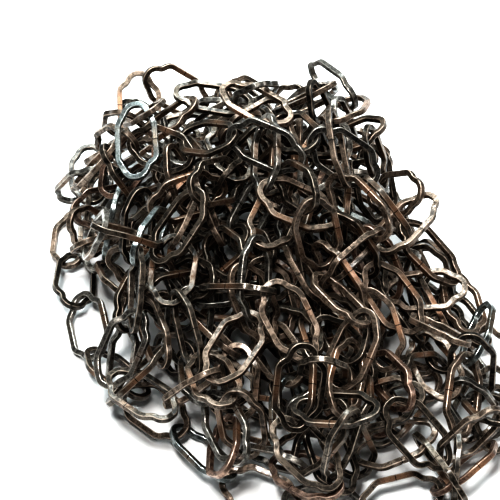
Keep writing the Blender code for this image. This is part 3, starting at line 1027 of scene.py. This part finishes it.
def forge_skin_group():
    """Mottled patches where the dark forge scale has gone thin, and small pits."""
    tree, wiring, given, made = new_group(
        "forge_skin",
        {
            "Place": (0.0, 0.0, 0.0),
            "Broad Scale": 60.0,
            "Mottle Scale": 330.0,
            "Pit Scale": 1300.0,
        },
        {"Patches": 1, "Pits": 1},
    )
    place = given["Place"]
    broad = wiring.noise(place, given["Broad Scale"], Detail=2.0)
    mottle = wiring.noise(
        place, given["Mottle Scale"], Detail=5.0, Roughness=0.66, Distortion=0.6
    )
    both = wiring.math("MULTIPLY_ADD", broad, BROAD_PATCHES, mottle)
    fine = wiring.noise(place, given["Pit Scale"], Detail=2.0)
    wiring.feed(made["Patches"], wiring.ranged(both, *PATCHES_FROM))
    wiring.feed(made["Pits"], wiring.ranged(fine, *PITS_FROM))
    return tree


def worn_glint_edges_group():
    """Where the bar's four edges are worn bright and carry a painted highlight, in broken stretches.
    """
    tree, wiring, given, made = new_group(
        "worn_glint_edges",
        {"Edge": 0.0, "Place": (0.0, 0.0, 0.0), "Break Scale": 160.0, "Wear": 0.7},
        {"Mask": 1},
    )
    breaks = wiring.noise(given["Place"], given["Break Scale"], Detail=3.0)
    broken = wiring.math("MULTIPLY", given["Edge"], wiring.ranged(breaks, *BREAKS_FROM))
    wiring.feed(made["Mask"], wiring.math("MULTIPLY", broken, given["Wear"]))
    return tree


def chain_iron_group():
    """All that changes over the bar: skin, heat tint, worn edges with painted highlight, seam."""
    tree, wiring, given, made = new_group(
        "chain_iron",
        {
            "Place": (0.0, 0.0, 0.0),
            "Bar Map": (0.0, 0.0, 0.0),
            "Edge": 0.0,
            "Seam": 0.0,
            "Tone": 0.5,
            "Heat": 0.0,
            "Dark": (0.02, 0.02, 0.02, 1.0),
            "Thin": (0.1, 0.1, 0.1, 1.0),
            "Worn": (0.5, 0.4, 0.3, 1.0),
            "Heated": (0.3, 0.2, 0.1, 1.0),
            "Wear": 0.7,
            "Rough Thin": 0.25,
            "Rough Thick": 0.4,
            "Lacquer": 0.6,
        },
        {"Colour": 4, "Roughness": 1, "Lacquer": 1, "Height": 1},
    )
    place = given["Place"]
    skin = wiring.group(forge_skin_group(), Place=place)
    lines = wiring.group(drawn_lines_group(), Bar_Map=given["Bar Map"])
    rubbed_glint = wiring.group(
        worn_glint_edges_group(), Edge=given["Edge"], Place=place, Wear=given["Wear"]
    )["Mask"]

    colour = wiring.mixed(skin["Patches"], given["Dark"], given["Thin"])
    colour = wiring.mixed(wiring.ranged(given["Heat"], *HEAT_FROM), colour, given["Heated"])
    for value, within, shades in (
        (given["Tone"], (0.0, 1.0), TONE_SHADES),
        (lines["Height"], LINES_FROM, LINE_SHADES),
        (lines["Scuffs"], (0.0, 1.0), SCUFF_SHADES),
        (skin["Pits"], (0.0, 1.0), PIT_SHADES),
    ):
        colour = wiring.shaded(colour, wiring.ranged(value, *within, *shades, "LINEAR"))
    # Worn edges: real wear, made brighter still by a painted highlight along each edge.
    colour = wiring.mixed(rubbed_glint, colour, given["Worn"])
    wiring.feed(made["Colour"], wiring.mixed(given["Seam"], colour, SEAM_DARK))

    rough = wiring.ranged(
        skin["Patches"], 0.0, 1.0, given["Rough Thick"], given["Rough Thin"], "LINEAR"
    )
    rough = wiring.math("MULTIPLY_ADD", lines["Height"], LINES_ROUGHEN, rough)
    rough = wiring.math("MULTIPLY_ADD", rubbed_glint, RUBBED_ROUGHEN, rough, use_clamp=True)
    wiring.feed(made["Roughness"], rough)

    kept = wiring.ranged(lines["Scuffs"], 0.0, 1.0, 1.0, SCUFFED_LACQUER, "LINEAR")
    on_skin = wiring.ranged(skin["Patches"], 0.0, 1.0, THICK_SKIN_LACQUER, 1.0)
    kept = wiring.math("MULTIPLY", kept, on_skin)
    wiring.feed(made["Lacquer"], wiring.math("MULTIPLY", kept, given["Lacquer"]))
    height = wiring.math("MULTIPLY_ADD", skin["Pits"], PIT_HEIGHT, lines["Height"])
    wiring.feed(made["Height"], height)
    return tree


def iron(name, surface, values):
    """One of the chain's irons, as a material with its own values for the shared surface."""
    material = bpy.data.materials.new(name)
    material.use_nodes = True
    wiring = Wiring(material.node_tree)
    shader = material.node_tree.nodes["Principled BSDF"].inputs
    shader["Metallic"].default_value = values["metallic"]
    shader["Coat Roughness"].default_value = values["coat"][1]
    marks = wiring.node("ShaderNodeAttribute", {}, attribute_name="marks").outputs
    parts = wiring.node("ShaderNodeSeparateColor", {0: marks["Color"]}).outputs
    bar = wiring.group(
        surface,
        Place=wiring.node("ShaderNodeTexCoord", {}).outputs["Object"],
        Bar_Map=wiring.node("ShaderNodeUVMap", {}, uv_map="bar").outputs["UV"],
        Edge=parts["Red"],
        Seam=parts["Green"],
        Tone=parts["Blue"],
        Heat=marks["Alpha"],
        Dark=(*values["dark"], 1),
        Thin=(*values["thin"], 1),
        Worn=(*values["worn_glint"], 1),
        Heated=(*values["heated"], 1),
        Wear=values["wear_glint"],
        Rough_Thin=values["rough"][0],
        Rough_Thick=values["rough"][1],
        Lacquer=values["coat"][0],
    )
    wiring.feed(shader["Base Color"], bar["Colour"])
    wiring.feed(shader["Roughness"], bar["Roughness"])
    wiring.feed(shader["Coat Weight"], bar["Lacquer"])
    bump = wiring.node("ShaderNodeBump", {"Height": bar["Height"], **RELIEF})
    wiring.feed(shader["Normal"], bump.outputs[0])
    return material


def floor_material():
    """Matt pale paint with a very faint unevenness."""
    material = bpy.data.materials.new("pale_floor")
    material.use_nodes = True
    wiring = Wiring(material.node_tree)
    shader = material.node_tree.nodes["Principled BSDF"].inputs
    shader["Roughness"].default_value = FLOOR_ROUGHNESS
    place = wiring.node("ShaderNodeTexCoord", {}).outputs["Object"]
    cloudy = wiring.noise(place, CLOUDS_SCALE, Detail=2.0)
    wiring.feed(shader["Base Color"], wiring.mixed(cloudy, *FLOOR_PAINT))
    return material


def turned_along(direction):
    """The turn of a lamp or a camera that looks along a direction."""
    return direction.to_track_quat("-Z", "Y").to_euler()


def soft_light(name, place, size, power, colour):
    """A rectangular lamp that looks at the heap."""
    lamp = bpy.data.lights.new(name, "AREA")
    lamp.shape = "RECTANGLE"
    lamp.size, lamp.size_y = size
    lamp.energy = power
    lamp.color = colour
    light = bpy.data.objects.new(name, lamp)
    light.location = place
    light.rotation_euler = turned_along(LIGHTS_AIM - Vector(place))
    bpy.context.scene.collection.objects.link(light)


def lay_heap():
    """The outer links, the stretches inside, the links in the core's place, and their shift."""
    rng = np.random.default_rng(SEED)
    layer = Layer(rng)
    layer.field.close_inside()
    layer.lay(chain_way(rng))
    outer = list(layer.links)
    corners = np.concatenate([middle + layer.solid[0] @ turn.T for turn, middle in outer])
    shift = -(corners.min(axis=0) + corners.max(axis=0)) / 2
    shift[2] = 0.0
    layer.rng = np.random.default_rng(STRETCH_SEED)
    return outer, layer.lay_inside(), layer.lay_in_core(), shift


def dress_heap(outer, stretches, in_core_place, shift):
    """Puts the made links in place of the nodes."""
    surface = chain_iron_group()
    irons = [iron(name, surface, values) for name, values in IRONS.items()]
    rng = np.random.default_rng(MADE_SEED)

    def dress(name, links, node):
        moved = [(turn, middle + shift) for turn, middle in links]
        chain_piece(name, moved, rng, irons, node)

    for k in range(0, len(outer), LINKS_IN_RUN):
        number = f"{k // LINKS_IN_RUN + 1:02d}"
        run = outer[k : k + LINKS_IN_RUN]
        dress(f"chain_{number}", run, f"chain_run_{number}")
    for k, links in enumerate(stretches):
        name = f"inside_{k + 1:02d}"
        dress(f"chain_{name}", links, name)
    dress("chain_in_core", in_core_place, "hidden_core")


def furnish_room():
    """The floor and the lights."""
    bpy.ops.mesh.primitive_plane_add(size=FLOOR_SIZE, location=(0, 0, 0))
    floor = bpy.context.object
    floor.name = "floor"
    floor.data.materials.append(floor_material())

    world = bpy.data.worlds.new("room")
    world.use_nodes = True
    background = world.node_tree.nodes["Background"].inputs
    background["Color"].default_value = ROOM_COLOUR
    background["Strength"].default_value = ROOM_STRENGTH
    bpy.context.scene.world = world
    for name, values in LIGHTS.items():
        soft_light(name, *values)


def set_view(shift):
    """The camera at the photograph's angle, and the photograph's contrast."""
    view = bpy.context.scene.view_settings
    view.view_transform, view.look, view.exposure = "Standard", "Very High Contrast", EXPOSURE
    camera = bpy.data.objects.new("camera", bpy.data.cameras.new("camera"))
    camera.data.lens = LENS
    camera.data.sensor_width = SENSOR
    distance = VIEW_WIDTH * LENS / SENSOR + VIEW_FARTHER
    seen = Vector((shift[0], shift[1] - VIEW_LOWER, 0.0))
    back = Vector((0.0, -math.cos(VIEW_DOWN), math.sin(VIEW_DOWN)))
    camera.location = seen + back * distance
    camera.rotation_euler = turned_along(-back)
    bpy.context.scene.collection.objects.link(camera)
    bpy.context.scene.camera = camera


def main():
    outer, stretches, in_core_place, shift = lay_heap()
    dress_heap(outer, stretches, in_core_place, shift)
    furnish_room()
    set_view(shift)


main()
